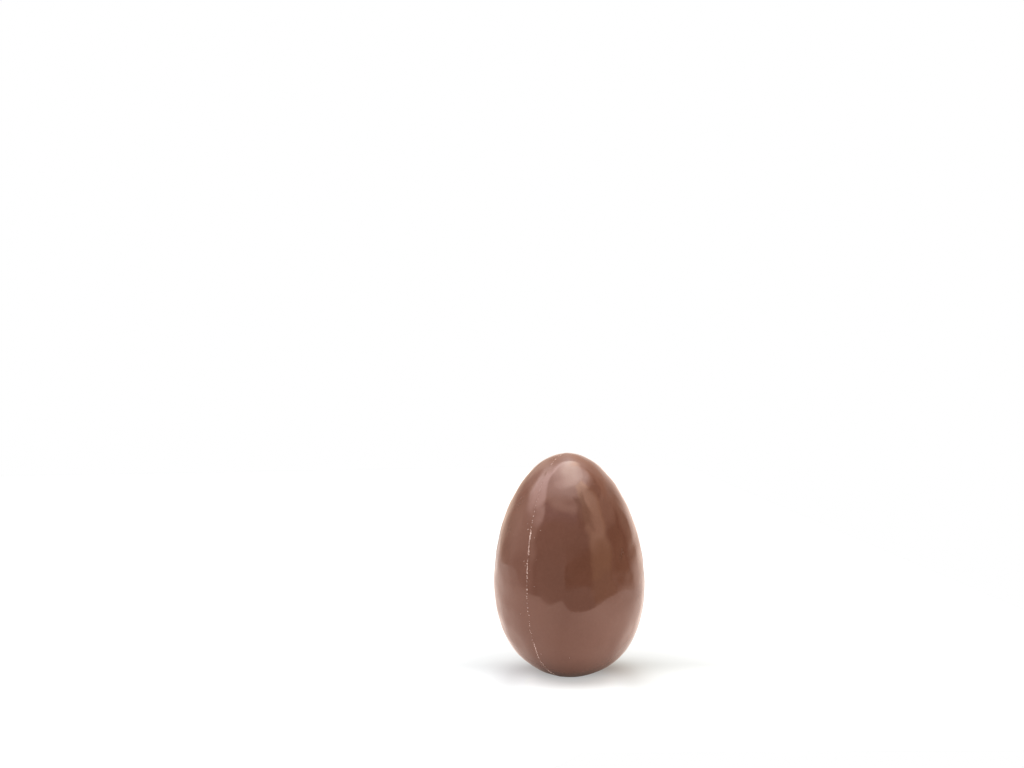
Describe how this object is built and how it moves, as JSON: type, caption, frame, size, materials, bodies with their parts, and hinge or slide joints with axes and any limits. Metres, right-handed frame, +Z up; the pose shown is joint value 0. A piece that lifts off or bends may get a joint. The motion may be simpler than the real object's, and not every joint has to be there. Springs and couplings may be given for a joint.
{
  "type": "chocolate egg",
  "caption": "Large moulded milk chocolate egg with a fine raised joint line from pole to pole, standing on a small flat on its broad end.",
  "frame": {"origin": "centre of the flat on the broad end, on the surface that the egg stands on", "axes": "+Z up the egg's long axis to the pointed end; the joint of the two moulded halves lies in the YZ plane, so the halves are +X and -X of it"},
  "size_m": [0.1052, 0.1058, 0.1544],
  "materials": {
    "milk_chocolate": "satin gloss, as chocolate leaves a polished mould"
  },
  "bodies": {
    "root": {"moulded_egg": "milk_chocolate"}
  },
  "joints": []
}
